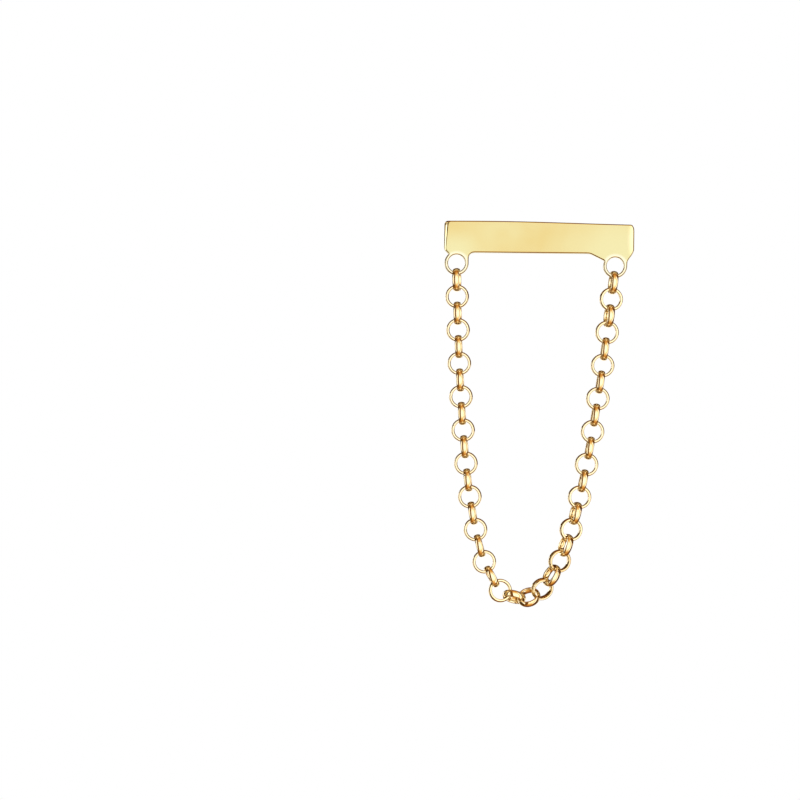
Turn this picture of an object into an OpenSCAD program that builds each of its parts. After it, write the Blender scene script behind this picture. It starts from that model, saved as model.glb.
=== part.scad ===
// Chain earring: a flat bar stud, with a chain of round links draped between two loops under its ends.
//
// Millimetres. +X runs along the bar, to the right as seen from the front. -Y is the front, the side
// that shows when the earring is worn. +Z is up. The origin is the middle of the bar's back face,
// where the ear post stands.
//
// The bar, its two loops and the post are one soldered solid. Every link of the chain is a solid of its
// own that passes through its two neighbours. The chain hangs in a curve that is worked out below from
// the links' own size and the places of the two loops, and each link sits where it would bear on the
// next one, less a small gap.

/* [Bar] */
// Length of the bar
bar_w = 13.3; // [13.3:0.1:14.5]
// Height of the bar at its left end
bar_h_left = 2.14; // [2.0:0.02:2.4]
// Height of the bar at its right end
bar_h_right = 2.04; // [2.0:0.02:2.4]
// Thickness of the bar, front to back
bar_t = 0.9; // [0.8:0.05:1.2]
// Width of the small bevels along the bar's edges
edge_bevel = 0.08; // [0.04:0.01:0.12]
// How far the slanting facet on the left end reaches along the front face, at the top
facet_top = 0.27; // [0.15:0.01:0.35]
// How far the same facet reaches along the front face, at the bottom
facet_bottom = 0.08; // [0.04:0.01:0.12]
// How far that facet reaches back along the left end
facet_depth = 0.7; // [0.4:0.05:0.75]
// Size of the blunted corners, as seen from the front
corner_cut = 0.14; // [0.08:0.02:0.2]
// Height of the slanting cut at the bar's left end, above its loop
slant_rise = 0.28; // [0.24:0.01:0.34]
// Slope of that slanting cut, in degrees
slant_slope = 46; // [40:1:50]

/* [Loops] */
// Inner diameter of the loops
loop_id = 1.19; // [1.15:0.01:1.25]
// Wall of the loops
loop_wall = 0.25; // [0.22:0.01:0.28]
// Thickness of the loops, front to back
loop_t = 0.46; // [0.4:0.02:0.48]
// How far the inside of a loop is domed
loop_dome = 0.08; // [0.06:0.01:0.1]
// Left loop's centre, measured in from the bar's left end
loop_in_left = 0.88; // [0.85:0.01:0.95]
// Right loop's centre, measured in from the bar's right end
loop_in_right = 1.32; // [1.28:0.01:1.4]
// Left loop's centre, measured down from the bar's middle line
loop_drop_left = 1.82; // [1.78:0.01:1.86]
// Right loop's centre, measured down from the bar's middle line
loop_drop_right = 1.88; // [1.84:0.01:1.92]
// Radius of the fillet between the bar and the inner side of the left loop
fillet_r = 0.38; // [0.3:0.02:0.44]
// How far the sloping web of the right loop runs in along the bar
web_run = 0.95; // [0.6:0.05:1.1]
// Height of the sloping web's foot above the right loop's centre
web_foot = 0.47; // [0.42:0.01:0.5]

/* [Post] */
// Diameter of the ear post
post_d = 0.8; // [0.7:0.05:1.0]
// Length of the ear post behind the bar, its point included
post_len = 10; // [9:0.5:11.5]
// Length of the post's tapered point
post_point = 0.4; // [0.3:0.05:0.6]

/* [Links] */
// Number of links in the chain
link_count = 42; // [42:2:46]
// Inner diameter of a link
link_id = 1.2; // [1.16:0.01:1.24]
// Wall of a link, from its inside to its outside
link_wall = 0.22; // [0.2:0.01:0.24]
// Width of a link, along its own axis
link_w = 0.44; // [0.4:0.01:0.46]
// How far the outside of a link is domed
outer_dome = 0.1; // [0.08:0.01:0.12]
// How far the inside of a link is domed
inner_dome = 0.055; // [0.05:0.005:0.065]
// Gap between two links, and between a link and a loop
link_gap = 0.03; // [0.025:0.005:0.05]
// More room between two links where the chain turns a corner, for a full right angle
corner_room = 0.25; // [0.2:0.05:0.4]

/* [Hang] */
// How far the whole earring leans against the plumb line, in degrees
lean = 2.05; // [0:0.05:3]
// Links from the left loop to where the right side's quarter turn starts
turn_start = 19; // [17:1:21]

/* [Hidden] */
$fn = 96;

// A quarter turn is needed between the two loops, because the first link and the last one both stand
// square to the bar while their places in the chain alternate. It happens at the bottom of the curve.
// Each row gives the turn at one link, counted from turn_start.
COL_LINK = 0;
COL_TURN = 1;
TURNS = [
    [-18, -8],
    [-16, -6],
    [-14, -4],
    [-4, -4],
    [-2, -2],
    [0, 4],
    [1, 12],
    [2, 22],
    [3, 52],
    [4, 61],
    [5, 66],
    [7, 72],
    [9, 79],
    [11, 88],
    [19, 90],
    [20, 87],
    [21, 81],
    [23, 84],
];

GOLD = "#E4BC68";
BEVEL_CUT = 2 * edge_bevel;
OVERLAP = 0.3;
SOLVER_STEPS = 22;

bar_y = -bar_t / 2;
chain_y = -bar_t + loop_t / 2;
loop_left = [-bar_w / 2 + loop_in_left, -loop_drop_left, 0];
loop_right = [bar_w / 2 - loop_in_right, -loop_drop_right, 0];
loop_or = loop_id / 2 + loop_wall;
edge_tilt = atan((bar_h_left - bar_h_right) / (2 * bar_w));

function total(list) = len(list) == 0 ? 0 : [for (item = list) 1] * list;

// A place or a step along the chain is [across, up, back] as seen from the front
function heading_vector(angle) = [cos(angle), sin(angle), 0];
function turned(v, angle) =
    [v[0] * cos(angle) - v[1] * sin(angle), v[0] * sin(angle) + v[1] * cos(angle), v[2]];
function bar_h_at(x) = bar_h_left + (bar_h_right - bar_h_left) * (x / bar_w + 0.5);

// How far link i is turned about the line of the chain. At zero an even link faces the front and an
// odd one stands edge-on to it, and at 90 degrees the other way round.
function turn(i) = lookup(i - turn_start, [for (row = TURNS) [row[COL_LINK], row[COL_TURN]]]);

// Slope of the pull between ring j and ring j + 1, in the plumb frame. Ring 0 is the left loop. The
// pull's upright part grows by one link's weight a link, so its slope is a straight line in j.
// hang = [the link at the lowest point, the level pull in link weights].
function pull(j, hang) = atan((j - hang[0]) / hang[1]);
function heading(i, hang) = (pull(i - 1, hang) + pull(i, hang)) / 2;

// The direction in a link's own plane that is square to its heading, as [to the left as seen from the
// front, back from the front]
function link_side(i) = i % 2 == 0 ? [cos(turn(i)), sin(turn(i))] : [sin(turn(i)), -cos(turn(i))];

// From the centre of link i to where it bears on a neighbour, for a pull along angle. The strand lies
// in the link's own plane, and half of the strand's thickness along the pull comes off.
function link_reach(i, angle, hang) =
    let(
        bend = angle - heading(i, hang),
        side = link_side(i),
        in_plane = norm([cos(bend), sin(bend) * side[0]]),
        along = cos(bend) * heading_vector(heading(i, hang)),
        aside = sin(bend) * side[0] * (side[0] * heading_vector(heading(i, hang) + 90) + [0, 0, side[1]]),
        half_strand = norm([link_wall / 2 * in_plane, link_w / 2 * sqrt(max(0, 1 - pow(in_plane, 2)))])
    )
    (link_id + link_wall) / 2 * (along + aside) / in_plane - half_strand * heading_vector(angle);

function reach(ring, angle, hang) =
    ring == 0 || ring == link_count + 1
        ? loop_id / 2 * heading_vector(angle)
        : link_reach(ring, angle, hang);

// Two links that meet at a corner bear on each other's edges, so they need more room than in line
function room(j, hang) = link_gap + corner_room * pow(sin(heading(j + 1, hang) - heading(j, hang)), 2);

// From the centre of ring j to the centre of ring j + 1, in the plumb frame
function step_vector(j, hang) =
    let(angle = pull(j, hang))
    reach(j, angle, hang) + reach(j + 1, angle, hang) - room(j, hang) * heading_vector(angle);

function span_of(hang) = total([for (j = [0:link_count]) step_vector(j, hang)]);

// The lowest point moves along the chain until the right loop is at its height
function lowest(level_pull, rise, low, high, steps) =
    let(middle = (low + high) / 2)
    steps == 0
        ? middle
        : span_of([middle, level_pull])[1] > rise
            ? lowest(level_pull, rise, middle, high, steps - 1)
            : lowest(level_pull, rise, low, middle, steps - 1);

// A larger level pull spreads the two sides, until the right loop is at its distance
function solved_hang(span, low, high, steps) =
    let(
        middle = (low + high) / 2,
        hang = [lowest(middle, span[1], 0.3 * link_count, 0.7 * link_count, SOLVER_STEPS), middle]
    )
    steps == 0
        ? hang
        : span_of(hang)[0] > span[0]
            ? solved_hang(span, low, middle, steps - 1)
            : solved_hang(span, middle, high, steps - 1);

HANG = solved_hang(turned(loop_right - loop_left, lean), 0.5, 4, SOLVER_STEPS);
STEPS = [for (j = [0:link_count]) turned(step_vector(j, HANG), -lean)];

function in_place(point) = [point[0], chain_y + point[2], point[1]];
function link_centre(i) = loop_left + total([for (j = [0:i - 1]) STEPS[j]]);
function link_heading(i) = heading(i, HANG) - lean;
function link_name(i) = str("link_", i < 10 ? "0" : "", i);

// A flat shape drawn as seen from the front, as a plate from y_front to y_front + thickness
module front_plate(y_front, thickness) {
    translate([0, y_front + thickness, 0])
        rotate([90, 0, 0])
            linear_extrude(thickness)
                children();
}

// A ring about the Z axis whose section is domed inside and outside and flat at both sides
module domed_ring(id, wall, width, inner, outer) {
    inner_arc = (pow(width / 2, 2) + pow(inner, 2)) / (2 * inner);
    outer_arc = (pow(width / 2, 2) + pow(outer, 2)) / (2 * outer);
    rotate_extrude()
        intersection() {
            translate([id / 2 + inner_arc, 0])
                circle(r = inner_arc);
            translate([id / 2 + wall - outer_arc, 0])
                circle(r = outer_arc);
            translate([id / 2, -width / 2])
                square([wall, width]);
        }
}

module bar_outline() {
    polygon([
        [-bar_w / 2, -bar_h_left / 2],
        [bar_w / 2 - corner_cut, -bar_h_right / 2],
        [bar_w / 2, -bar_h_right / 2 + 2 * corner_cut],
        [bar_w / 2, bar_h_right / 2 - 2 * corner_cut],
        [bar_w / 2 - corner_cut, bar_h_right / 2],
        [-bar_w / 2 + corner_cut, bar_h_left / 2],
        [-bar_w / 2, bar_h_left / 2 - corner_cut],
    ]);
}

// One long bevel: top or bottom edge (side), front or back face (face)
module long_bevel(side, face) {
    translate([0, bar_y + face * bar_t / 2, side * bar_h_at(0) / 2])
        rotate([0, side * edge_tilt, 0])
            rotate([45, 0, 0])
                cube([bar_w + 1, edge_bevel * sqrt(2), edge_bevel * sqrt(2)], center = true);
}

module right_end_bevel(face) {
    translate([bar_w / 2, bar_y + face * bar_t / 2, 0])
        rotate([0, 0, 45])
            cube([BEVEL_CUT * sqrt(2), BEVEL_CUT * sqrt(2), bar_h_left + 1], center = true);
}

// The slanting facet on the left end, from the front face back to the end's rear edge
module left_facet() {
    lean_across = atan((facet_top - facet_bottom) / bar_h_left);
    reach_middle = (facet_top + facet_bottom) / 2;
    translate([-bar_w / 2 + reach_middle, -bar_t, 0])
        rotate([0, lean_across, 0])
            rotate([0, 0, atan(facet_depth / reach_middle)])
                translate([-2 * bar_t, -bar_t, 0])
                    cube([4 * bar_t, 2 * bar_t, bar_h_left + 2], center = true);
}

module left_slant() {
    translate([-bar_w / 2, bar_y, -bar_h_left / 2 + slant_rise])
        rotate([0, slant_slope, 0])
            translate([0, 0, -1])
                cube([3, bar_t + 1, 2], center = true);
}

module bar() {
    difference() {
        front_plate(-bar_t, bar_t)
            bar_outline();
        for (side = [-1, 1], face = [-1, 1])
            long_bevel(side, face);
        for (face = [-1, 1])
            right_end_bevel(face);
        left_facet();
    }
}

module loop(centre) {
    translate(in_place(centre))
        rotate([90, 0, 0])
            domed_ring(loop_id, loop_wall, loop_t, loop_dome, outer_dome);
}

// The upright web and its fillet on the inner side of the left loop, and on its outer side the short
// piece that the slanting cut runs through
module left_web_outline() {
    rise = loop_drop_left - bar_h_at(loop_left[0]) / 2;
    translate(loop_left) {
        translate([-loop_or, loop_or * 0.7])
            square([loop_or, rise + OVERLAP - loop_or * 0.7]);
        difference() {
            square([loop_or + fillet_r, rise + OVERLAP]);
            translate([loop_or + fillet_r, rise - fillet_r])
                circle(r = fillet_r);
            translate([loop_or, -1])
                square([fillet_r + 1, 1 + rise - fillet_r]);
        }
    }
}

// The sloping web on the inner side of the right loop, and the short shoulder on its outer side
module right_web_outline() {
    rise = loop_drop_right - bar_h_at(loop_right[0]) / 2;
    translate(loop_right)
        polygon([
            [-loop_or - web_run, rise],
            [-loop_or + 0.08, web_foot],
            [-loop_or + 0.05, 0.3],
            [-loop_or, 0],
            [loop_or, 0],
            [loop_or + 0.01, 0.36],
            [loop_in_right - 0.38, 0.57],
            [loop_in_right - corner_cut, rise],
            [loop_in_right - corner_cut, rise + OVERLAP],
            [-loop_or - web_run, rise + OVERLAP],
        ]);
}

// A web plate, kept clear of the domed inside of its loop
module web(centre) {
    difference() {
        front_plate(-bar_t, loop_t)
            children();
        translate(in_place(centre))
            rotate([90, 0, 0])
                cylinder(r = loop_id / 2 + loop_wall / 2, h = 2 * loop_t, center = true);
    }
}

module post() {
    translate([0, -bar_t / 2, 0])
        rotate([-90, 0, 0])
            cylinder(d = post_d, h = bar_t / 2 + post_len - post_point);
    translate([0, post_len - post_point, 0])
        rotate([-90, 0, 0])
            cylinder(d1 = post_d, d2 = post_d / 2, h = post_point);
}

module bar_stud() {
    color(GOLD) {
        difference() {
            union() {
                bar();
                web(loop_left)
                    left_web_outline();
                web(loop_right)
                    right_web_outline();
            }
            left_slant();
        }
        loop(loop_left);
        loop(loop_right);
        post();
    }
}

module link(i) {
    color(GOLD)
        translate(in_place(link_centre(i)))
            rotate([0, -link_heading(i), 0])
                rotate([90 * (1 + i % 2) - turn(i), 0, 0])
                    domed_ring(link_id, link_wall, link_w, inner_dome, outer_dome);
}

bar_stud();
for (i = [1:link_count])
    link(i);
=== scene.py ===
"""A gold chain earring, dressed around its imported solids: a flat bar stud and its draped chain.

Blender works in metres. Sizes below are in millimetres, as in the part's source, and MM turns
them to metres.
+X runs along the bar, to the right as seen from the front. -Y is the front and +Z is up.
"""

import logging
import math
from dataclasses import dataclass, field
from enum import Enum
from typing import ClassVar

import bmesh
import bpy
import numpy as np
from mathutils import Matrix, Vector
from mathutils.geometry import delaunay_2d_cdt


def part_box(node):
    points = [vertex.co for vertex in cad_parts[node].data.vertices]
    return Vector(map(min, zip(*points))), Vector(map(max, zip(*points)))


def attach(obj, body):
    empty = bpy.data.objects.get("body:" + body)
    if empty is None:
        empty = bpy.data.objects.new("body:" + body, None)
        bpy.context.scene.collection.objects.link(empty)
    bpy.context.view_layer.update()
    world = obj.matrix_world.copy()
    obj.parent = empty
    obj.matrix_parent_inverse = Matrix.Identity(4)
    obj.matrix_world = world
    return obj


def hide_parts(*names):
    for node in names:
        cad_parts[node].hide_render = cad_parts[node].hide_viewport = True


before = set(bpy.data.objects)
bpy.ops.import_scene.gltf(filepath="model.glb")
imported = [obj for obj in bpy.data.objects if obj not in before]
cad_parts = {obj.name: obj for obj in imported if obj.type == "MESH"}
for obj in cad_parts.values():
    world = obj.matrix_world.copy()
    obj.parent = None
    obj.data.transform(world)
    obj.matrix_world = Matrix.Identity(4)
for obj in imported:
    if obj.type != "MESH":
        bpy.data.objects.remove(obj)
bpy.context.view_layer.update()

# Metres in a millimetre, degrees in half a turn, and millimetres within which vertices are one
MM = 0.001
HALF_TURN = 180.0
MERGE_DISTANCE = 1e-5
LOG = logging.getLogger("earring")
BODY = "root"
Array = np.ndarray
Stops = tuple[tuple[float, str], ...]


# Small tools


def linear(colour: str) -> tuple[float, float, float, float]:
    """Turns an sRGB hex colour to the linear values that a shader takes.

    A coded value c becomes c / 12.92 up to 0.04045, and ((c + 0.055) / 1.055)^2.4 above it.

    Args:
        colour: The colour, such as "#F3DD98".

    Returns:
        Red, green, blue and an alpha of one.
    """
    coded = [int(colour[i : i + 2], 16) / 255 for i in (1, 3, 5)]
    red, green, blue = (
        c / 12.92 if c <= 0.04045 else ((c + 0.055) / 1.055) ** 2.4 for c in coded
    )
    return red, green, blue, 1.0


def smoothstep(values: Array) -> Array:
    """Returns an even S-shaped step: 0 below zero, 1 above one, and 3v^2 - 2v^3 between."""
    held = np.clip(values, 0.0, 1.0)
    return held * held * (3 - 2 * held)


def add_node(
    tree: bpy.types.NodeTree, kind: str, settings: dict | None = None, inputs: dict | None = None
) -> bpy.types.Node:
    """Adds a node, sets its properties, and fills its inputs.

    Args:
        tree: The node tree that gets it.
        kind: The node's type name, without the ShaderNode that it starts with.
        settings: Its properties, by name.
        inputs: Its inputs, by name or number. A socket is linked, and any other value is set.

    Returns:
        The new node.
    """
    node = tree.nodes.new(f"ShaderNode{kind}")
    for name, value in (settings or {}).items():
        setattr(node, name, value)
    for name, value in (inputs or {}).items():
        if isinstance(value, bpy.types.NodeSocket):
            tree.links.new(value, node.inputs[name])
        else:
            node.inputs[name].default_value = value
    return node


def empty_tree(owner: bpy.types.Material | bpy.types.World) -> bpy.types.NodeTree:
    """Turns on the nodes of a material or of the world, and clears them.

    Args:
        owner: The material or the world.

    Returns:
        Its empty node tree.
    """
    owner.use_nodes = True
    owner.node_tree.nodes.clear()
    return owner.node_tree


def numbered(grid: Array, start: int = 0) -> Array:
    """Numbers a grid's vertices in their order, row by row, from a first number on."""
    rows, columns = grid.shape[:2]
    return start + np.arange(rows * columns).reshape(rows, columns)


def grid_faces(indices: Array, close_rows: bool, close_columns: bool) -> Array:
    """Works out the four-sided faces of a grid of vertices.

    Args:
        indices: The vertices' numbers, rows by columns.
        close_rows: Whether the last row joins the first one.
        close_columns: Whether the last column joins the first one.

    Returns:
        One face a row, as four vertex numbers.
    """
    across = np.roll(indices, -1, axis=1)
    down = np.roll(indices, -1, axis=0)
    corners = np.stack([indices, across, np.roll(across, -1, axis=0), down], axis=-1)
    kept = corners[: None if close_rows else -1, : None if close_columns else -1]
    return kept.reshape(-1, 4)


def make_piece(
    name: str,
    points: Array,
    faces: list[Array],
    material: bpy.types.Material,
    nodes: tuple[str, ...],
) -> bpy.types.Object:
    """Makes one smooth closed piece, with doubled vertices merged and its faces turned outwards.

    Args:
        name: The piece's name.
        points: Its vertices in millimetres, one a row.
        faces: Its faces, as arrays of vertex numbers with one face a row.
        material: Its finish.
        nodes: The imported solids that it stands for.

    Returns:
        The new object, which rides on the earring's one body.
    """
    mesh = bpy.data.meshes.new(name)
    mesh.from_pydata(points * MM, [], [face for group in faces for face in group.tolist()])
    draft = bmesh.new()
    draft.from_mesh(mesh)
    bmesh.ops.remove_doubles(draft, verts=draft.verts, dist=MERGE_DISTANCE * MM)
    bmesh.ops.recalc_face_normals(draft, faces=draft.faces)
    draft.to_mesh(mesh)
    draft.free()
    mesh.shade_smooth()
    mesh.materials.append(material)
    piece = bpy.data.objects.new(name, mesh)
    bpy.context.scene.collection.objects.link(piece)
    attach(piece, BODY)
    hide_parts(*nodes)
    return piece


# Finishes


@dataclass(frozen=True)
class PaintedHighlight:
    """A painted highlight: a place where the gold's colour is painted paler, standing in for a
    brighter reflection on the bar.

    Attributes:
        centre: Its middle, in millimetres.
        reach: How far from there the paling starts to fade, and where it ends.
        tone: The paler colour painted in the middle, as a highlight.
    """

    centre: tuple[float, float, float]
    reach: tuple[float, float]
    tone: str


@dataclass(frozen=True)
class PolishedGold:
    """Yellow gold of 14 carat, drawn or rolled and then buffed on a soft wheel.

    Buffing leaves a bright face with a slight long wave from the wheel, and very fine hairlines
    that only widen the reflections. The alloy's tone drifts a little between a paler and a warmer
    gold.

    Attributes:
        name: The material's name.
        pale: The paler tone.
        warm: The warmer tone.
        tone_size: Size of a patch of one tone, in millimetres.
        wave_size: Length of the wheel's wave, in millimetres.
        wave_height: Height of that wave, in millimetres.
        hairline_size: Spacing of the hairlines, in millimetres. Real ones are about 0.005 apart,
            too fine to show, so they are drawn coarser.
        hairline_height: Depth of the hairlines, in millimetres.
        hairline_lean: Angle of the hairlines to the bar's length, in radians.
        hairline_stretch: How much slower the hairlines change along their length than across.
        contrast: The part of the hairlines' range that the gloss follows.
        gloss: Lowest and highest roughness.
        painted_highlights: Where a paler colour is painted on, as painted highlights that stand in
            for brighter reflections.
    """

    name: str
    pale: str
    warm: str
    tone_size: float = 2.5
    wave_size: float = 0.9
    wave_height: float = 0.0006
    hairline_size: float = 0.06
    hairline_height: float = 0.00005
    hairline_lean: float = 0.35
    hairline_stretch: float = 0.08
    contrast: tuple[float, float] = (0.3, 0.7)
    gloss: tuple[float, float] = (0.09, 0.16)
    painted_highlights: tuple[PaintedHighlight, ...] = ()

    def build(self) -> bpy.types.Material:
        """Makes the material, all of it on Object coordinates.

        Returns:
            The material, with its drifting tone, wheel's wave and hairlines.
        """
        material = bpy.data.materials.new(self.name)
        tree = empty_tree(material)
        place = add_node(tree, "TexCoord").outputs["Object"]
        stretched = add_node(
            tree,
            "Mapping",
            inputs={
                "Vector": place,
                "Rotation": (0.0, self.hairline_lean, 0.0),
                "Scale": (self.hairline_stretch, 1.0, 1.0),
            },
        )
        # Each noise has its coordinates, its size in millimetres, and its detail
        tone, wave, hairline = (
            add_node(
                tree, "TexNoise", inputs={"Vector": way, "Scale": 1 / (size * MM), "Detail": detail}
            ).outputs["Fac"]
            for way, size, detail in (
                (place, self.tone_size, 2.0),
                (place, self.wave_size, 1.0),
                (stretched.outputs["Vector"], self.hairline_size, 3.0),
            )
        )
        colour = add_node(
            tree,
            "Mix",
            {"data_type": "RGBA"},
            {0: tone, "A": linear(self.pale), "B": linear(self.warm)},
        )
        # Each painted highlight mixes a paler colour into the gold around its centre, in place of a
        # brighter reflection
        for spot in self.painted_highlights:
            away = add_node(
                tree,
                "VectorMath",
                {"operation": "DISTANCE"},
                {0: place, 1: tuple(value * MM for value in spot.centre)},
            )
            fade = add_node(
                tree,
                "MapRange",
                {"interpolation_type": "SMOOTHSTEP"},
                {
                    "Value": away.outputs["Value"],
                    "From Min": spot.reach[0] * MM,
                    "From Max": spot.reach[1] * MM,
                },
            )
            colour = add_node(
                tree,
                "Mix",
                {"data_type": "RGBA"},
                {0: fade.outputs["Result"], "A": linear(spot.tone), "B": colour.outputs["Result"]},
            )
        gloss = add_node(
            tree,
            "MapRange",
            inputs={
                "Value": hairline,
                "From Min": self.contrast[0],
                "From Max": self.contrast[1],
                "To Min": self.gloss[0],
                "To Max": self.gloss[1],
            },
        )
        waved = add_node(tree, "Bump", inputs={"Height": wave, "Distance": self.wave_height * MM})
        bump = add_node(
            tree,
            "Bump",
            inputs={
                "Height": hairline,
                "Distance": self.hairline_height * MM,
                "Normal": waved.outputs["Normal"],
            },
        )
        shader = add_node(
            tree,
            "BsdfPrincipled",
            inputs={
                "Base Color": colour.outputs["Result"],
                "Metallic": 1.0,
                "Roughness": gloss.outputs["Result"],
                "Normal": bump.outputs["Normal"],
            },
        )
        add_node(tree, "OutputMaterial", inputs={"Surface": shader.outputs["BSDF"]})
        return material


class Finish(Enum):
    """The earring's finishes: the same gold, as each part is worked.

    The bar has paler colour painted above each loop, on the loops themselves and at its right end,
    as painted highlights for the brighter reflections there.
    """

    BAR = PolishedGold(
        "buffed_gold_bar",
        "#E0D7A2",
        "#DABD73",
        gloss=(0.05, 0.09),
        # Painted highlights: paler gold painted above and on the loops and at the right end
        painted_highlights=(
            PaintedHighlight((-5.9, -0.9, -1.4), (0.5, 2.4), "#E0D7A2"),
            PaintedHighlight((5.33, -0.9, -1.7), (0.8, 5.6), "#E0D7A2"),
            PaintedHighlight((-5.77, -0.67, -1.9), (0.8, 1.05), "#F0EACC"),
            PaintedHighlight((5.33, -0.67, -1.96), (0.8, 1.05), "#F0EACC"),
            PaintedHighlight((9.65, -0.9, 0.0), (3.05, 3.6), "#F0E8C6"),
        ),
    )
    WIRE = PolishedGold(
        "bright_gold_wire",
        "#FDF3D4",
        "#F8E6B9",
        tone_size=1.1,
        wave_size=0.4,
        wave_height=0.0003,
        gloss=(0.05, 0.09),
    )
    POST = PolishedGold("drawn_gold_post", "#F6E4A6", "#F0D290")


# The bar with its two loops


@dataclass(frozen=True)
class EdgeShape:
    """How far an edge is worked back, as seen from the front (inset) and front to back (depth)."""

    inset: float
    depth: float


@dataclass
class BarWithLoops:
    """The flat bar and the two soldered loops under its ends, as one closed skin.

    Sizes are in millimetres, and the main ones repeat the part's source. The bar's own width, left
    height and thickness, and the right loop's drop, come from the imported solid.

    Attributes:
        height_right: Height of the bar at its right end.
        corner: Size of the cut at each corner.
        end_cuts: How many corner sizes the right end's lower and upper cuts run along it.
        lower_corner_drop: How far the lower right corner hangs below the bar.
        slant_rise: Height above the bar's lower edge where the left slant starts.
        slant_slope: Slope of that slant, in degrees.
        loop_inner: Radius of a loop's hole.
        loop_wall: Width of a loop's metal, as seen from the front.
        loop_thickness: Thickness of a loop from front to back.
        loop_in_left: Distance of the left loop's centre from the bar's left end.
        loop_in_right: Distance of the right loop's centre from the bar's right end.
        loop_drop_left: Distance of the left loop's centre below the bar's middle.
        fillet: Radius of the hollow between the left loop and the bar.
        web_run: How far left of the right loop its sloping web starts.
        web_toes: Where that web meets the loop: in from the loop's edge, up from its centre.
        neck: The edge right of that loop: out from the loop's edge, up from its centre.
        shoulder: The edge above the neck: in from the bar's end, up from the loop's centre.
        top_swell: Height, middle and spread of the top edge's swell.
        facet_top: Width of the left end's filed facet at the top.
        facet_bottom: Its width at the bottom.
        facet_reach: How far from that end the facet still draws the rows to the right.
        facet_hold: Share of the bar's height over which the facet runs out at the bottom.
        facet_facing: How squarely an edge has to face left to be filed, and over what range.
        facet_profile: The facet's section: in from the end and back, in facet widths.
        solder_ramp: Height over which the bar's back steps down to the loops'.
        end_roll: How far in from the right end the face is buffed over, and how deep.
        edge: Section of the bar's edges.
        loop_outside: Section of a loop's outer edge.
        loop_inside: Section of its hole's edge.
        dome_onset: How far below the bar a loop's section starts, and over what height.
        pitch: Spacing of the points along an edge.
        softening: Spread of the Gaussian round the loops and round the bar.
        softening_drop: Height below the bar over which the one becomes the other.
        rows: Grid rows of an edge's section at the front, and as many at the back.
        support: Width of the flat strip that holds each face's border level.
        cap_pitch: Spacing of the points inside a face.
        crown: How far the front face falls back at its upper and lower edges.
    """

    height_right: float = 2.04
    corner: float = 0.14
    end_cuts: tuple[float, float] = (1.5, 2.0)
    lower_corner_drop: float = 0.06
    slant_rise: float = 0.22
    slant_slope: float = 46.0
    loop_inner: float = 0.595
    loop_wall: float = 0.25
    loop_thickness: float = 0.46
    loop_in_left: float = 0.88
    loop_in_right: float = 1.32
    loop_drop_left: float = 1.82
    fillet: float = 0.38
    web_run: float = 0.95
    web_toes: tuple[tuple[float, float], ...] = ((0.08, 0.35), (0.05, 0.24))
    neck: tuple[float, float] = (0.01, 0.3)
    shoulder: tuple[float, float] = (0.36, 0.5)
    top_swell: tuple[float, float, float] = (0.12, -2.2, 6.5)
    facet_top: float = 0.29
    facet_bottom: float = 0.1
    facet_reach: float = 0.7
    facet_hold: float = 0.15
    facet_facing: tuple[float, float] = (0.75, 0.2)
    facet_profile: tuple[tuple[float, float], ...] = (
        (1.0, 0.0),
        (0.88, 0.22),
        (0.76, 0.45),
        (0.53, 1.18),
        (0.3, 1.9),
        (0.15, 2.15),
        (0.0, 2.4),
    )
    solder_ramp: float = 0.1
    end_roll: tuple[float, float] = (0.5, 0.05)
    edge: EdgeShape = EdgeShape(0.1, 0.24)
    loop_outside: EdgeShape = EdgeShape(0.11, 0.23)
    loop_inside: EdgeShape = EdgeShape(0.08, 0.23)
    dome_onset: tuple[float, float] = (0.15, 0.45)
    pitch: float = 0.027
    softening: tuple[float, float] = (0.055, 0.09)
    softening_drop: float = 0.2
    rows: int = 12
    support: float = 0.012
    cap_pitch: float = 0.14
    crown: float = 0.005
    width: float = field(init=False)
    height_left: float = field(init=False)
    thickness: float = field(init=False)
    loop_drop_right: float = field(init=False)

    def __post_init__(self) -> None:
        """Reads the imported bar's box."""
        low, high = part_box("bar_stud")
        self.width = (high.x - low.x) / MM
        self.height_left = 2 * high.z / MM
        self.thickness = -low.y / MM
        self.loop_drop_right = -low.z / MM - self.loop_outer

    @property
    def loop_outer(self) -> float:
        """Outer radius of a loop."""
        return self.loop_inner + self.loop_wall

    @property
    def left_loop(self) -> Array:
        """Centre of the left loop, across and up."""
        return np.array([-self.width / 2 + self.loop_in_left, -self.loop_drop_left])

    @property
    def right_loop(self) -> Array:
        """Centre of the right loop, across and up."""
        return np.array([self.width / 2 - self.loop_in_right, -self.loop_drop_right])

    def half_height(self, across: Array | float) -> Array | float:
        """Half the bar's height at a place along it: it tapers evenly from left to right."""
        share = across / self.width + 0.5
        return (self.height_left + (self.height_right - self.height_left) * share) / 2

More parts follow.
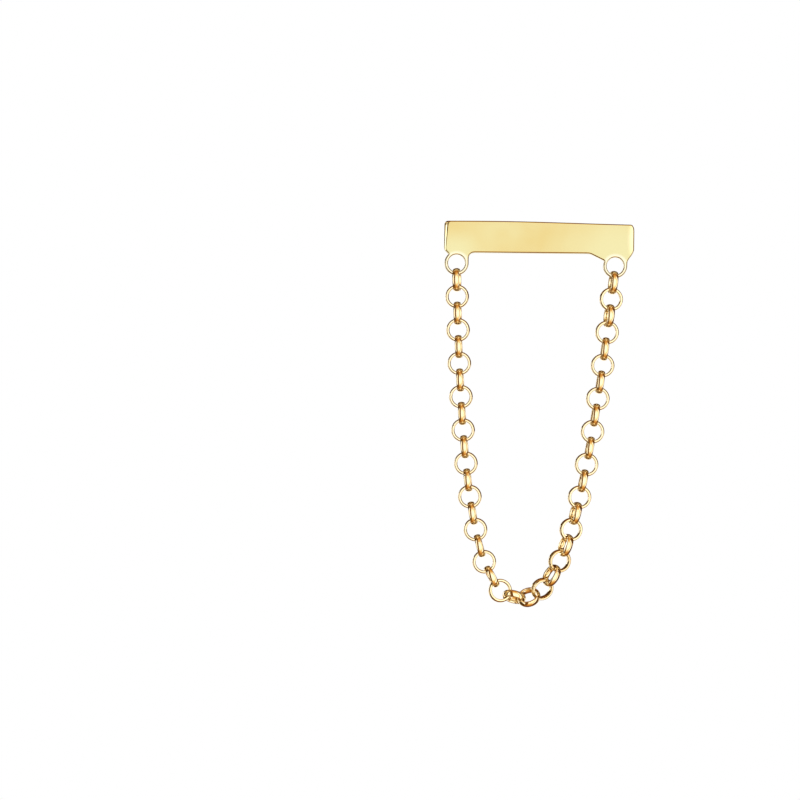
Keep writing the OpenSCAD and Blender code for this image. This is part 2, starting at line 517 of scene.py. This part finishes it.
    def outline(self) -> Array:
        """Traces the outer edge as seen from the front, left side down and right side up.

        Straight runs and arcs are joined, set at an even pitch, and softened by a Gaussian along
        their length, which rounds each corner. It is narrow round the loops and broad round the
        bar. The top edge, cut by hand, swells by s * exp(-((x - middle) / spread)^2).

        Returns:
            Across and up, one point a row.
        """
        half, outer = self.width / 2, self.loop_outer
        left, right = self.left_loop, self.right_loop
        start = np.array([-half, -self.height_left / 2 + self.slant_rise])
        slope = math.radians(self.slant_slope)
        run = np.array([math.cos(slope), -math.sin(slope)])
        back = (start - left) @ run
        reach = math.sqrt(back**2 - (start - left) @ (start - left) + outer**2)
        notch = start + run * (-back - reach)
        notch_angle = math.atan2(*(notch - left)[::-1])
        fillet_up = -self.half_height(left[0] + outer + self.fillet) - self.fillet
        fillet_centre = np.array([left[0] + outer + self.fillet, fillet_up])
        web_start = right[0] - outer - self.web_run
        low_right = -self.height_right / 2
        cut_low, cut_high = (cut * self.corner for cut in self.end_cuts)
        path = [
            start,
            left + outer * arc(notch_angle, 2 * math.pi),
            fillet_centre + self.fillet * arc(math.pi, math.pi / 2),
            [web_start, -self.half_height(web_start)],
            *(right + [-outer + inwards, up] for inwards, up in self.web_toes),
            right + outer * arc(math.pi, 2 * math.pi),
            right + [outer + self.neck[0], self.neck[1]],
            right + [self.loop_in_right - self.shoulder[0], self.shoulder[1]],
            [half - self.corner, low_right - self.lower_corner_drop],
            [half, low_right + cut_low],
            [half, -low_right - cut_high],
            [half - self.corner, -low_right],
            [-half + self.corner, self.height_left / 2],
            [-half, self.height_left / 2 - self.corner],
        ]
        fine, broad = (softened(np.vstack(path), self.pitch, width) for width in self.softening)
        share = smoothstep((low_right - fine[:, 1:]) / self.softening_drop)
        edge = fine * share + broad * (1 - share)
        swell, middle, spread = self.top_swell
        lift = swell * np.exp(-(((edge[:, 0] - middle) / spread) ** 2))
        edge[:, 1] += lift * np.clip(2 * edge[:, 1] / self.height_right, 0.0, 1.0)
        return edge

    def hole(self, centre: Array) -> Array:
        """Traces a loop's hole the other way round, so that the path's left side is metal too.

        A point at the angle a lies at the centre plus r (cos a, sin a), and a falls along the path.

        Args:
            centre: The loop's centre, across and up.

        Returns:
            Across and up, one point a row.
        """
        count = int(2 * math.pi * self.loop_inner / self.pitch)
        angles = -2 * math.pi * np.arange(count) / count
        return centre + self.loop_inner * np.stack([np.cos(angles), np.sin(angles)], axis=1)

    def back_depth(self, place: Array) -> Array:
        """Gives the back's depth: the bar's, or the thinner loops' below a solder ramp."""
        below = -self.half_height(place[..., 0]) - place[..., 1]
        return -(self.thickness - self.loop_thickness) * smoothstep(below / self.solder_ramp)

    def front_depth(self, place: Array) -> Array:
        """Gives the front face's depth: almost flat, crowned, and buffed over at its right end.

        The crown is c (z / h)^2, for a height z and half the bar's height h. The end rolls over
        by f t^3, where t grows from 0 to 1 towards it.

        Args:
            place: Across and up, one place a row.

        Returns:
            How far back each place lies.
        """
        crown = self.crown * (place[..., 1] / self.half_height(place[..., 0])) ** 2
        reach, fall = self.end_roll
        roll = fall * np.clip(1 - (self.width / 2 - place[..., 0]) / reach, 0, 1) ** 3
        return -self.thickness + crown + roll * (place[..., 1] > -self.height_left / 2)

    def rim(self, path: Array, dome: EdgeShape) -> Array:
        """Carries the edge's section along a path, from the front face round to the back.

        The section is a quarter of an ellipse at the front and another at the back. It is small
        along the bar and a full dome round the loops. Towards the left end its front rows are drawn
        to the right, by an amount that fades with the distance from that end, and their depth
        follows the filed facet's profile.

        Args:
            path: The edge as seen from the front, with metal on its left side.
            dome: The section round a loop.

        Returns:
            The points, rows by columns by three.
        """
        along = np.roll(path, -1, axis=0) - np.roll(path, 1, axis=0)
        along /= np.linalg.norm(along, axis=1, keepdims=True)
        inward = np.stack([-along[:, 1], along[:, 0]], axis=1)
        drop = -self.half_height(path[:, 0]) - path[:, 1]
        domed = smoothstep((drop - self.dome_onset[0]) / self.dome_onset[1])
        steps = np.linspace(0, 1, self.rows + 1)[:, None]
        sine, cosine = np.sin(steps * math.pi / 2), np.cos(steps * math.pi / 2)
        inset = (1 - sine) * (self.edge.inset * (1 - domed) + dome.inset * domed)
        depth = (1 - cosine) * (self.edge.depth * (1 - domed) + dome.depth * domed)

        facing = smoothstep((inward[:, 0] - self.facet_facing[0]) / self.facet_facing[1])
        end = (path[:, 0] < 0) * facing * (1 - domed)
        share = 0.5 - path[:, 1] / self.height_left
        facet = self.facet_top + (self.facet_bottom - self.facet_top) * share
        walked = np.linspace(0, 1, len(self.facet_profile))
        facet_in, facet_back = (
            np.interp(steps, walked, column) for column in np.transpose(self.facet_profile)
        )
        held = smoothstep((path[:, 1] / self.height_left + 0.5) / self.facet_hold)
        shift = (facet_in * facet - inset) * held
        front_depth = depth * (1 - end) + facet_back * facet * end

        insets = np.vstack([inset[:1] + self.support, inset, inset[::-1], inset[:1] + self.support])
        places = path[None] + insets[..., None] * inward[None]
        front = places[: self.rows + 2]
        near = 1 - smoothstep((front[..., 0] + self.width / 2 - self.facet_top) / self.facet_reach)
        front[..., 0] += near * np.vstack([shift[:1], shift])
        fronts = self.front_depth(front) + np.vstack([front_depth[:1] * 0, front_depth])
        backs = self.back_depth(places[self.rows + 2 :]) - np.vstack([depth[::-1], depth[:1] * 0])
        return np.stack([places[..., 0], np.vstack([fronts, backs]), places[..., 1]], axis=-1)

    def build(self, material: bpy.types.Material) -> bpy.types.Object:
        """Joins the outer rim, the two holes and the two faces into one closed skin.

        Args:
            material: The bar's finish.

        Returns:
            The bar with its loops.
        """
        rims = [
            self.rim(self.outline(), self.loop_outside),
            self.rim(self.hole(self.left_loop), self.loop_inside),
            self.rim(self.hole(self.right_loop), self.loop_inside),
        ]
        points, faces, fronts, backs, count = [], [], [], [], 0
        for grid in rims:
            numbers = numbered(grid, count)
            points.append(grid.reshape(-1, 3))
            faces.append(grid_faces(numbers, close_rows=False, close_columns=True))
            fronts.append(numbers[0])
            backs.append(numbers[-1])
            count += numbers.size
        skin = np.vstack(points)
        for loops, depth_at in ((fronts, self.front_depth), (backs, self.back_depth)):
            inner, triangles = filled([skin[loop][:, [0, 2]] for loop in loops], self.cap_pitch)
            numbers = np.concatenate([*loops, len(skin) + np.arange(len(inner))])
            skin = np.vstack([skin, np.stack([inner[:, 0], depth_at(inner), inner[:, 1]], axis=1)])
            faces.append(numbers[triangles])
        return make_piece("bar_with_loops", skin, faces, material, ("bar_stud",))


def arc(start: float, end: float, count: int = 48) -> Array:
    """Points of a unit circle from one angle to another, in radians, one a row."""
    angles = np.linspace(start, end, count)
    return np.stack([np.cos(angles), np.sin(angles)], axis=1)


def softened(corners: Array, pitch: float, width: float) -> Array:
    """Sets a closed path at an even pitch and rounds it with a Gaussian along its length.

    Args:
        corners: The path's corners, one a row.
        pitch: The spacing that its points get.
        width: The Gaussian's spread.

    Returns:
        The even, rounded path.
    """
    closed = np.vstack([corners, corners[:1]])
    walked = np.concatenate([[0], np.cumsum(np.linalg.norm(np.diff(closed, axis=0), axis=1))])
    count = int(walked[-1] / pitch)
    stops = np.arange(count) * walked[-1] / count
    even = np.interp(stops, walked, closed[:, 0]) + 1j * np.interp(stops, walked, closed[:, 1])
    waves = np.fft.fftfreq(count, walked[-1] / count)
    rounded = np.fft.ifft(np.fft.fft(even) * np.exp(-2 * (math.pi * waves * width) ** 2))
    return np.stack([rounded.real, rounded.imag], axis=1)


def inside(places: Array, loops: list[Array]) -> Array:
    """Tells which places lie inside an odd number of loops, by counting crossings to their right.

    Args:
        places: Across and up, one place a row.
        loops: The closed loops.

    Returns:
        Whether each place is inside.
    """
    crossings = np.zeros(len(places), int)
    for loop in loops:
        a, b = loop, np.roll(loop, -1, axis=0)
        spans = (a[:, 1] > places[:, None, 1]) != (b[:, 1] > places[:, None, 1])
        rise = np.where(b[:, 1] == a[:, 1], 1.0, b[:, 1] - a[:, 1])
        meets = a[:, 0] + (places[:, None, 1] - a[:, 1]) * (b[:, 0] - a[:, 0]) / rise
        crossings += (spans & (meets > places[:, None, 0])).sum(axis=1)
    return crossings % 2 == 1


def filled(
    loops: list[Array], pitch: float, sliver: float = 1e-6, nearness: float = 1e-6
) -> tuple[Array, Array]:
    """Fills the space between closed loops with triangles on a regular scatter of inner points.

    Args:
        loops: The outer loop and the holes, as seen from the front.
        pitch: The spacing of the inner points.
        sliver: Least area of a triangle, which drops those that rounding makes on a border.
        nearness: How near two points have to be to count as one.

    Returns:
        The inner points, and the triangles. A triangle counts the loops' points first, in their
        order, and then the inner ones.
    """
    border = np.vstack(loops)
    low, high = border.min(axis=0), border.max(axis=0)
    columns, rows = (np.arange(a + pitch / 2, b, pitch) for a, b in zip(low, high))
    inner = np.stack(np.meshgrid(columns, rows), axis=-1).reshape(-1, 2)
    inner = inner[inside(inner, loops)]
    nearest = np.sqrt(((inner[:, None] - border[None]) ** 2).sum(axis=2).min(axis=1))
    inner = inner[nearest > pitch / 3]
    every = np.vstack([border, inner])
    edges, count = [], 0
    for loop in loops:
        numbers = count + np.arange(len(loop))
        edges += np.stack([numbers, np.roll(numbers, -1)], axis=1).tolist()
        count += len(loop)
    places = [Vector(place) for place in every.tolist()]
    # Mode 0 makes triangles over the whole hull, and those outside the loops are dropped below
    _, _, made, origins, _, _ = delaunay_2d_cdt(places, edges, [], 0, nearness, True)
    came_from = np.array([origin[0] for origin in origins])
    triangles = came_from[np.array(made)]
    first, second, third = (every[triangles[:, k]] for k in range(3))
    area = np.abs(np.cross(second - first, third - first)) / 2
    kept = (area > sliver) & inside((first + second + third) / 3, loops)
    return inner, triangles[kept]


# The ear post


@dataclass
class EarPost:
    """The straight round post behind the bar, with a solder fillet at its foot and a blunt taper.

    Attributes:
        radius: Radius of the post, in millimetres.
        tip_radius: Radius of its blunt end.
        tip_shoulder: How much wider it is where the end's rounding starts.
        point: Length of the taper.
        foot: Radius of the solder fillet.
        root_depth: How deep the post is set into the bar.
        rounding: Radius of the end's edge.
        steps: Rows of each rounding.
        sides: Columns around the post.
    """

    radius: float = 0.4
    tip_radius: float = 0.2
    tip_shoulder: float = 0.03
    point: float = 0.4
    foot: float = 0.1
    root_depth: float = 0.25
    rounding: float = 0.06
    steps: int = 10
    sides: int = 72

    def build(self, material: bpy.types.Material) -> bpy.types.Object:
        """Turns the post's profile about the Y axis: r cos a across and r sin a up, at an angle a.

        Args:
            material: The post's finish.

        Returns:
            The post.
        """
        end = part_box("bar_stud")[1].y / MM
        quarter = np.linspace(0, math.pi / 2, self.steps)[:, None]
        falling = 1 - np.sin(quarter)
        rising = 1 - np.cos(quarter)
        profile = np.vstack(
            [
                [[-self.root_depth, 0.0], [-self.root_depth, self.radius + self.foot]],
                np.hstack([self.foot * rising, self.radius + self.foot * falling]),
                [[end - self.point, self.radius]],
                [[end - self.rounding, self.tip_radius + self.tip_shoulder]],
                np.hstack([end - self.rounding * falling, self.tip_radius - self.rounding * rising]),
                [[end, 0.0]],
            ]
        )
        angles = 2 * math.pi * np.arange(self.sides) / self.sides
        back, out = profile[:, :1], profile[:, 1:]
        points = np.stack([out * np.cos(angles), back + 0 * angles, out * np.sin(angles)], axis=-1)
        faces = [grid_faces(numbered(points), close_rows=False, close_columns=True)]
        return make_piece("ear_post", points.reshape(-1, 3), faces, material, ("bar_stud",))


# The chain


@dataclass(frozen=True)
class RingPlace:
    """Where one link sits.

    Attributes:
        centre: Its middle, in millimetres.
        axis: The direction of its axis.
        run: The direction in which the chain runs there.
    """

    centre: Array
    axis: Array
    run: Array


@dataclass
class DrapedChain:
    """The chain of round links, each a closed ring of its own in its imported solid's place.

    The wire is slightly wider than the solid's, and flatter on its faces.

    Attributes:
        outer_radius: Outer radius of a link, in millimetres.
        wall: Thickness of the wire between a link's inside and its outside, in millimetres.
        width: Width of the wire along the link's axis.
        outer_dome: How far the wire's outer face bulges.
        inner_dome: How far its inner face bulges.
        rounding: Spread of the Gaussian that rounds the section's four corners.
        around: Grid columns around a link.
        pitch: Spacing of the grid's rows around the wire.
        notch: Share of the wire's size that the seam's groove takes off.
        notch_width: Half the width of that groove.
        bead: Share that the solder next to the seam adds.
        bead_width: Half the width of that bead.
        seam_range: Nearest and farthest that a seam lies from the chain's run, in radians.
        ripple: Height of the soft ripples that cutting and closing leave in the wire.
        ripple_waves: How many waves each ripple has around a link.
        ripple_turn: Farthest that a ripple is turned, in radians: all the way round.
        seed: Start of the links' random seams and ripples.
    """

    outer_radius: float = 0.83
    wall: float = 0.23
    width: float = 0.46
    outer_dome: float = 0.075
    inner_dome: float = 0.042
    rounding: float = 0.019
    around: int = 132
    pitch: float = 0.018
    notch: float = 0.1
    notch_width: float = 0.022
    bead: float = 0.03
    bead_width: float = 0.1
    seam_range: tuple[float, float] = (0.6, 2.5)
    ripple: float = 0.0007
    ripple_waves: tuple[int, ...] = (3, 5, 8, 13, 21)
    ripple_turn: float = 6.28
    seed: int = 42

    def places(self) -> dict[str, RingPlace]:
        """Measures each packed link: its axis is the way in which its points spread least.

        Returns:
            Each link's place, by its node's name.
        """
        names = sorted(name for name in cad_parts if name.startswith("link_"))
        centres, axes = [], []
        for name in names:
            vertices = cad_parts[name].data.vertices
            co = np.empty(len(vertices) * 3)
            vertices.foreach_get("co", co)
            co = co.reshape(-1, 3) / MM
            frame_axes = np.linalg.eigh(np.cov(co.T))[1]
            spread = co @ frame_axes
            centres.append(frame_axes @ (spread.min(axis=0) + spread.max(axis=0)) / 2)
            axes.append(frame_axes[:, 0])
        runs = np.gradient(np.array(centres), axis=0)
        runs /= np.linalg.norm(runs, axis=1, keepdims=True)
        return {n: RingPlace(c, a, r) for n, c, a, r in zip(names, centres, axes, runs)}

    def wire(self) -> Array:
        """Draws the wire's section: two shallow arcs, joined by flats and rounded at the corners.

        An arc of height h over a chord w has the radius (w^2 / 4 + h^2) / 2h.

        Returns:
            Distance outwards from the wire's middle, and distance along the link's axis.
        """
        half, sides = self.width / 2, []
        for dome, way in ((self.outer_dome, 1.0), (self.inner_dome, -1.0)):
            radius = (half**2 + dome**2) / (2 * dome)
            reach = math.asin(half / radius)
            curve = radius * arc(-reach, reach)
            sides.append(way * (curve + [self.wall / 2 - radius, 0.0]))
        return softened(np.vstack(sides), self.pitch, self.rounding)

    def ring(self, place: RingPlace, chance: np.random.Generator) -> Array:
        """Carries the wire's section round one link.

        The wire swells a little at the solder bead, as 1 + bead * exp(-(distance / width)^2), and
        narrows in the seam's groove in the same way. Soft waves lift its middle line.

        Args:
            place: Where the link sits.
            chance: The link's random numbers.

        Returns:
            The points, columns around the link by rows around the wire by three.
        """
        first = place.run - place.axis * (place.run @ place.axis)
        first /= np.linalg.norm(first)
        second = np.cross(place.axis, first)
        theta = 2 * math.pi * np.arange(self.around)[:, None] / self.around
        out, across = self.wire().T
        middle = self.outer_radius - self.wall / 2
        seam = chance.uniform(*self.seam_range) * chance.choice([-1.0, 1.0])
        away = np.angle(np.exp(1j * (theta - seam))) * middle
        swell = 1 + self.bead * np.exp(-((away / self.bead_width) ** 2))
        swell -= self.notch * np.exp(-((away / self.notch_width) ** 2))
        lift = 0.0
        for waves in self.ripple_waves:
            height = chance.normal() * self.ripple / math.sqrt(waves)
            lift = lift + height * np.cos(waves * theta + chance.uniform(0, self.ripple_turn))
        radius = middle + out * swell + lift
        outwards = np.cos(theta)[..., None] * first + np.sin(theta)[..., None] * second
        sideways = (across * swell)[..., None] * place.axis
        return place.centre + radius[..., None] * outwards + sideways

    def build(self, material: bpy.types.Material) -> list[bpy.types.Object]:
        """Makes every link of the chain.

        Args:
            material: The wire's finish.

        Returns:
            The links, in their order along the chain.
        """
        chance = np.random.default_rng(self.seed)
        made = []
        for name, place in self.places().items():
            grid = self.ring(place, chance)
            faces = [grid_faces(numbered(grid), close_rows=True, close_columns=True)]
            made.append(make_piece(f"chain_{name}", grid.reshape(-1, 3), faces, material, (name,)))
        return made


# The studio


@dataclass(frozen=True)
class Softbox:
    """A rectangular soft light that faces the earring.

    Attributes:
        name: The light's name.
        azimuth: Its direction in degrees: 0 is the front, and 90 is to the right.
        elevation: Its height above the horizon in degrees.
        size: Its width and height in millimetres.
        radiance: Its brightness, where 1 is white paper.
        colour: Its colour.
        distance: How far away it is, in millimetres.
    """

    name: str
    azimuth: float
    elevation: float
    size: tuple[float, float]
    radiance: float
    colour: str = "#FFFFFF"
    distance: float = 300.0

    def build(self, target: Vector) -> None:
        """Makes the area light. Its power is its radiance times pi times its area.

        Args:
            target: The point that it faces, in metres.
        """
        light = bpy.data.lights.new(self.name, "AREA")
        light.shape = "RECTANGLE"
        light.size, light.size_y = (side * MM for side in self.size)
        light.energy = self.radiance * math.pi * light.size * light.size_y
        light.color = linear(self.colour)[:3]
        lamp = bpy.data.objects.new(self.name, light)
        bpy.context.scene.collection.objects.link(lamp)
        a, e = math.radians(self.azimuth), math.radians(self.elevation)
        away = Vector((math.sin(a) * math.cos(e), -math.cos(a) * math.cos(e), math.sin(e)))
        turn = away.to_track_quat("Z", "Y").to_matrix().to_4x4()
        lamp.matrix_world = Matrix.Translation(target + away * self.distance * MM) @ turn
        lamp.visible_camera = False


@dataclass
class Studio:
    """A white tent, the room that the metal mirrors, four soft lights, and the camera.

    The camera looks along +Y from where the photograph was taken. The object's place in the frame
    comes from where the camera stands, so the camera has no shift.

    Attributes:
        frame_pixels: Width and height of the photograph.
        mm_per_pixel: Size of one of its pixels at the earring.
        distance: Distance of the camera from the aim point, in millimetres.
        aim: The aim point, in the earring's middle.
        aim_pixel: Where the photograph shows that point.
        roll: Turn of the camera about its line of sight, in degrees.
        film: Width of the camera's film, in millimetres.
        sight: Nearest and farthest distance that the camera sees.
        tent_radius: Radius of the tent's dome.
        tent_cove: Radius of the bend between its floor and its wall.
        tent_steps: Rows of the cove, and as many of the dome.
        tent_sides: Columns around the tent.
        floor_drop: How far its floor lies below the bar's middle.
        room_strength: Brightness of white in the room, where 1 is white paper.
        side_fade: How far to the side the left and right colours start, and are full.
        card_tone: Colour of the dark card left of the camera.
        card_sides: Its two sides, by the part to the right of the normal that mirrors them.
        card_blur: Softness of those sides.
        card_end: Degrees from straight in front at which it starts to fade and is gone.
        FRONT: The room's colours at its front, each after its degrees from straight in front.
        BACK: Those at the back of its two sides.
        LEFT: Those of its left.
        RIGHT: Those of its right.
        UPRIGHT: Those above and below.
        LIGHTS: A wide one low behind, as from a white table top, and three strips.
    """

    frame_pixels: float = 800.0
    mm_per_pixel: float = 0.07
    distance: float = 220.0
    aim: tuple[float, float, float] = (0.0, -0.67, -12.0)
    aim_pixel: tuple[float, float] = (537.0, 409.7)
    roll: float = 0.76
    film: float = 36.0
    sight: tuple[float, float] = (1.0, 10000.0)
    tent_radius: float = 700.0
    tent_cove: float = 350.0
    tent_steps: int = 16
    tent_sides: int = 96
    floor_drop: float = 420.0
    room_strength: float = 2.2
    side_fade: tuple[float, float] = (0.3, 0.75)
    card_tone: str = "#523210"
    card_sides: tuple[float, float] = (-0.36, -0.13)
    card_blur: float = 0.02
    card_end: tuple[float, float] = (72.0, 96.0)

    FRONT: ClassVar[Stops] = ((0.0, "#C6C6C6"), (6.0, "#C6C6C6"))
    BACK: ClassVar[Stops] = (
        (140.0, "#46341C"),
        (158.0, "#5C4A2E"),
        (170.0, "#8A8068"),
        (180.0, "#8A8068"),
    )
    LEFT: ClassVar[Stops] = (
        *FRONT,
        (12.0, "#DADAD6"),
        (44.0, "#DADAD6"),
        (52.0, "#AA9870"),
        (62.0, "#D2D0CA"),
        (68.5, "#D2D0CA"),
        (75.0, "#3A280E"),
        (132.0, "#2A1A0A"),
        *BACK,
    )
    RIGHT: ClassVar[Stops] = (
        *FRONT,
        (14.0, "#DAD4C6"),
        (38.0, "#DAD4C6"),
        (50.0, "#AC8646"),
        (61.0, "#D2D0CA"),
        (68.5, "#D2D0CA"),
        (75.0, "#46280A"),
        (132.0, "#341C08"),
        *BACK,
    )
    UPRIGHT: ClassVar[Stops] = (
        *FRONT,
        (12.0, "#D0CCC4"),
        (36.0, "#C8BEAC"),
        (55.0, "#AB864B"),
        (75.0, "#986934"),
        (95.0, "#704118"),
        (112.0, "#4E2C0C"),
        (128.0, "#3C1E08"),
        (156.0, "#3C1E08"),
        (163.0, "#B4AE9C"),
        (180.0, "#B4AE9C"),
    )
    LIGHTS: ClassVar[tuple[Softbox, ...]] = (
        Softbox("table_bounce", 180.0, -21.0, (1400.0, 150.0), 0.8, "#FFF4E0"),
        Softbox("strip_behind_left", -144.0, 3.0, (70.0, 90.0), 2.4),
        Softbox("strip_left", -90.0, 1.0, (60.0, 70.0), 0.9, "#F2C878"),
        Softbox("strip_right", 90.0, 1.0, (60.0, 70.0), 0.9, "#F2C878"),
    )

    def camera(self) -> None:
        """Puts the camera where the aim point falls on its pixel of the photograph's frame."""
        data = bpy.data.cameras.new("photo_camera")
        data.sensor_width = self.film
        data.lens = self.film * self.distance / (self.frame_pixels * self.mm_per_pixel)
        data.clip_start, data.clip_end = (reach * MM for reach in self.sight)
        camera = bpy.data.objects.new("photo_camera", data)
        bpy.context.scene.collection.objects.link(camera)
        roll = math.radians(self.roll)
        right = Vector((math.cos(roll), 0.0, math.sin(roll)))
        up = Vector((-math.sin(roll), 0.0, math.cos(roll)))
        forward = Vector((0.0, 1.0, 0.0))
        middle = self.frame_pixels / 2
        offset = right * (self.aim_pixel[0] - middle) - up * (self.aim_pixel[1] - middle)
        place = Vector(self.aim) - forward * self.distance - offset * self.mm_per_pixel
        turn = Matrix((right, up, -forward)).transposed().to_4x4()
        camera.matrix_world = Matrix.Translation(place * MM) @ turn
        bpy.context.scene.camera = camera
        LOG.info("camera at %s", [round(v, 2) for v in place])

    def tent(self) -> None:
        """Turns a floor, a cove and a dome about the upright axis, seen only as white."""
        radius, cove, drop = self.tent_radius, self.tent_cove, self.floor_drop
        turn = np.linspace(0, math.pi / 2, self.tent_steps)[:, None]
        sine, cosine = np.sin(turn), np.cos(turn)
        profile = np.vstack(
            [
                [[0.0, -drop]],
                np.hstack([radius - cove + cove * sine, cove * (1 - cosine) - drop]),
                np.hstack([radius * cosine, cove - drop + radius * sine])[1:],
            ]
        )
        angles = 2 * math.pi * np.arange(self.tent_sides) / self.tent_sides
        out, up = profile[:, :1], profile[:, 1:]
        points = np.stack([out * np.cos(angles), out * np.sin(angles), up + 0 * angles], axis=-1)
        faces = grid_faces(numbered(points), close_rows=False, close_columns=True)
        mesh = bpy.data.meshes.new("light_tent")
        mesh.from_pydata(points.reshape(-1, 3) * MM, [], faces.tolist())
        mesh.shade_smooth()
        material = bpy.data.materials.new("white_tent_cloth")
        tree = empty_tree(material)
        glow = add_node(tree, "Emission", inputs={"Color": linear("#FFFFFF"), "Strength": 1.0})
        add_node(tree, "OutputMaterial", inputs={"Surface": glow.outputs["Emission"]})
        mesh.materials.append(material)
        tent = bpy.data.objects.new("light_tent", mesh)
        bpy.context.scene.collection.objects.link(tent)
        tent.visible_glossy = tent.visible_diffuse = tent.visible_shadow = False

    def surroundings(self) -> None:
        """Paints the room that the metal mirrors, by direction.

        The angle away from straight in front is the arccosine of the direction's front part, and
        each side of the room has a ramp of colours over it. The side is the direction's right part
        over its distance from the front-to-back axis: -1 is left, 0 is above or below, and 1 is
        right.
        """
        world = bpy.data.worlds.new("studio_room")
        bpy.context.scene.world = world
        tree = empty_tree(world)
        direction = add_node(tree, "TexCoord").outputs["Generated"]
        parts = add_node(tree, "SeparateXYZ", inputs={"Vector": direction})
        turned = parts.outputs["Y"]
        for operation, number in (("MULTIPLY", -1.0), ("ARCCOSINE", 0.0), ("DIVIDE", math.pi)):
            turned = add_node(
                tree, "Math", {"operation": operation}, {0: turned, 1: number}
            ).outputs["Value"]
        flat = add_node(
            tree, "VectorMath", {"operation": "MULTIPLY"}, {0: direction, 1: (1.0, 0.0, 1.0)}
        )
        unit = add_node(tree, "VectorMath", {"operation": "NORMALIZE"}, {0: flat.outputs["Vector"]})
        side = add_node(tree, "SeparateXYZ", inputs={"Vector": unit.outputs["Vector"]})
        room = self.ramp(tree, turned, self.UPRIGHT)
        for stops, way in ((self.LEFT, -1.0), (self.RIGHT, 1.0)):
            share = add_node(
                tree,
                "MapRange",
                {"interpolation_type": "SMOOTHSTEP"},
                {
                    "Value": side.outputs["X"],
                    "From Min": way * self.side_fade[0],
                    "From Max": way * self.side_fade[1],
                },
            )
            room = add_node(
                tree,
                "Mix",
                {"data_type": "RGBA"},
                {0: share.outputs["Result"], "A": room, "B": self.ramp(tree, turned, stops)},
            ).outputs["Result"]
        room = add_node(
            tree,
            "Mix",
            {"data_type": "RGBA"},
            {0: self.card(tree, parts, turned), "A": room, "B": linear(self.card_tone)},
        ).outputs["Result"]
        glow = add_node(tree, "Background", inputs={"Color": room, "Strength": self.room_strength})
        add_node(tree, "OutputWorld", inputs={"Surface": glow.outputs["Background"]})

    def card(
        self, tree: bpy.types.NodeTree, parts: bpy.types.Node, turned: bpy.types.NodeSocket
    ) -> bpy.types.NodeSocket:
        """Adds the dark card left of the camera, which draws one thin line down each curved wire.

        A surface mirrors a direction to the front if its normal lies halfway between the two. That
        normal's part to the right is x / sqrt(2 - 2y), and the card spans a range of it.

        Args:
            tree: The room's node tree.
            parts: The direction's three parts.
            turned: The angle away from straight in front, as a share of half a turn.

        Returns:
            How much the card covers the room.
        """
        square = add_node(
            tree, "Math", {"operation": "MULTIPLY_ADD"}, {0: parts.outputs["Y"], 1: -2.0, 2: 2.0}
        )
        length = add_node(tree, "Math", {"operation": "SQRT"}, {0: square.outputs["Value"]})
        fraction = {0: parts.outputs["X"], 1: length.outputs["Value"]}
        across = add_node(tree, "Math", {"operation": "DIVIDE"}, fraction).outputs["Value"]
        left, right = self.card_sides
        fading, gone = (degrees / HALF_TURN for degrees in self.card_end)
        cover = 1.0
        for value, start, end in (
            (across, left - self.card_blur, left),
            (across, right, right - self.card_blur),
            (turned, gone, fading),
        ):
            edge = add_node(
                tree,
                "MapRange",
                {"interpolation_type": "SMOOTHSTEP"},
                {"Value": value, "From Min": start, "From Max": end},
            )
            cover = add_node(
                tree, "Math", {"operation": "MULTIPLY"}, {0: cover, 1: edge.outputs["Result"]}
            ).outputs["Value"]
        return cover

    @staticmethod
    def ramp(
        tree: bpy.types.NodeTree, value: bpy.types.NodeSocket, stops: Stops
    ) -> bpy.types.NodeSocket:
        """Adds a colour ramp over half a turn.

        Args:
            tree: The room's node tree.
            value: The angle, as a share of half a turn.
            stops: Degrees and colours. Each new stop is made at any place, and then set.

        Returns:
            The colour at that angle.
        """
        node = add_node(tree, "ValToRGB", inputs={"Fac": value})
        elements = node.color_ramp.elements
        while len(elements) < len(stops):
            elements.new(0.5)
        for element, (degrees, colour) in zip(elements, stops):
            element.position = degrees / HALF_TURN
            element.color = linear(colour)
        return node.outputs["Color"]

    def lights(self) -> None:
        """Sets up every light, facing the aim point."""
        for light in self.LIGHTS:
            light.build(Vector(self.aim) * MM)

    def build(self) -> None:
        """Sets up the whole studio."""
        self.camera()
        self.tent()
        self.surroundings()
        self.lights()
        bpy.context.scene.view_settings.view_transform = "Standard"


# The whole earring


def main() -> None:
    """Sets up the studio, dresses the earring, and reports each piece."""
    logging.basicConfig(level=logging.INFO, format="%(name)s: %(message)s")
    finishes = {finish: finish.value.build() for finish in Finish}
    Studio().build()
    pieces = [
        BarWithLoops().build(finishes[Finish.BAR]),
        EarPost().build(finishes[Finish.POST]),
        *DrapedChain().build(finishes[Finish.WIRE]),
    ]
    for piece in pieces:
        mesh = piece.data
        LOG.info("%s: %d vertices, %d faces", piece.name, len(mesh.vertices), len(mesh.polygons))


if __name__ == "__main__":
    main()
